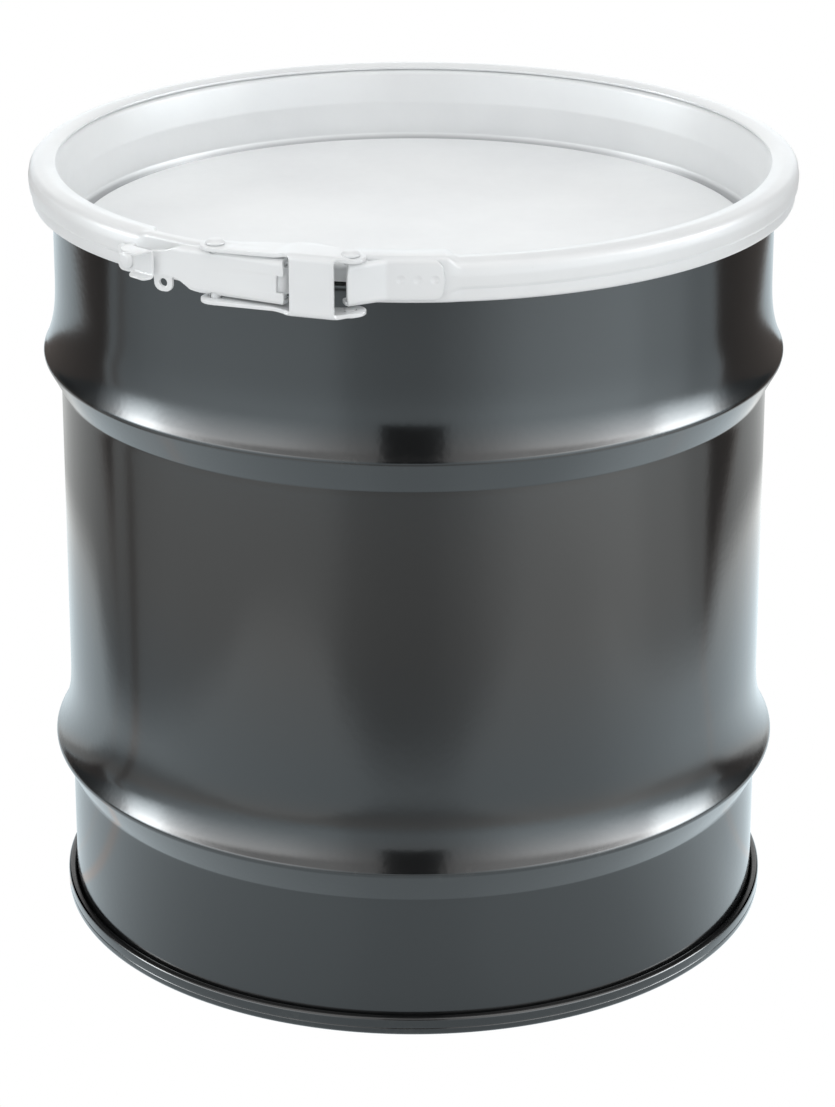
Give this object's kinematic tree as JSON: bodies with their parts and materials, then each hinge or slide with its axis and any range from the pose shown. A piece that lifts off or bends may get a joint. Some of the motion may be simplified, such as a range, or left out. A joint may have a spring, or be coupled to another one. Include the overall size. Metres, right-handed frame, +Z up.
{
  "type": "open head steel drum",
  "caption": "Small cylindrical open head drum with two rolling hoops, a deep recessed lift-off cover and a closing ring with an over-centre lever latch.",
  "frame": {"origin": "in the middle of the footprint box, latch included, in the plane the bottom chime stands on; the drum's axis stands 7 mm behind it, at x 0, y 0.007", "axes": "+Z up along the drum's axis, -Y the front where the latch is, +X to the right seen from the front"},
  "size_m": [0.3836, 0.3975, 0.4018],
  "materials": {
    "black_paint": "gloss black enamel on sheet steel",
    "white_paint": "semi-gloss white enamel on sheet steel",
    "gasket_rubber": "soft black rubber"
  },
  "bodies": {
    "drum": {"body_shell": "black_paint", "bottom_head": "black_paint"},
    "cover": {"cover": "white_paint", "cover_gasket": "gasket_rubber"},
    "ring_left": {"closing_ring_left": "white_paint", "lever_bracket": "white_paint", "lever_pin": "white_paint"},
    "ring_right": {"closing_ring_right": "white_paint", "strap_bracket": "white_paint"},
    "lever": {"lever": "white_paint"},
    "link": {"link": "white_paint", "link_lever_rivet": "white_paint", "link_end_rivet_upper": "white_paint", "link_end_rivet_lower": "white_paint"},
    "safety_clip": {"safety_clip": "white_paint", "clip_rivet": "white_paint"}
  },
  "joints": [
    {"name": "cover_lift", "type": "slide", "parent": "drum", "child": "cover", "axis": [0, 0, 1], "range_m": [0, 0.15]},
    {"name": "ring_lift", "type": "slide", "parent": "cover", "child": "ring_left", "axis": [0, 0, 1], "range_m": [0, 0.06], "deforming": ["closing_ring_left", "closing_ring_right"]},
    {"name": "lever_swing", "type": "hinge", "parent": "ring_left", "child": "lever", "pos_m": [-0.05933, -0.18232, 0.386], "axis": [0, 0, 1], "range_deg": [0, 150], "deforming": ["safety_clip"]},
    {"name": "link_swing", "type": "hinge", "parent": "lever", "child": "link", "pos_m": [-0.08933, -0.17138, 0.386], "axis": [0, 0, 1], "range_deg": [-124.5, 0]},
    {"name": "ring_spread", "type": "hinge", "parent": "ring_left", "child": "ring_right", "pos_m": [0.0451, 0.19342, 0.385], "axis": [0, 0, 1], "range_deg": [0, 7.9]},
    {"name": "clip_swing", "type": "hinge", "parent": "ring_left", "child": "safety_clip", "pos_m": [-0.13267, -0.13427, 0.3815], "axis": [-0.6845, -0.729, 0], "range_deg": [0, 70]}
  ],
  "couplings": [
    {"joint": "link_swing", "follows": "lever_swing", "ratio": -0.82513},
    {"joint": "ring_spread", "follows": "lever_swing", "ratio": 0.05188}
  ]
}
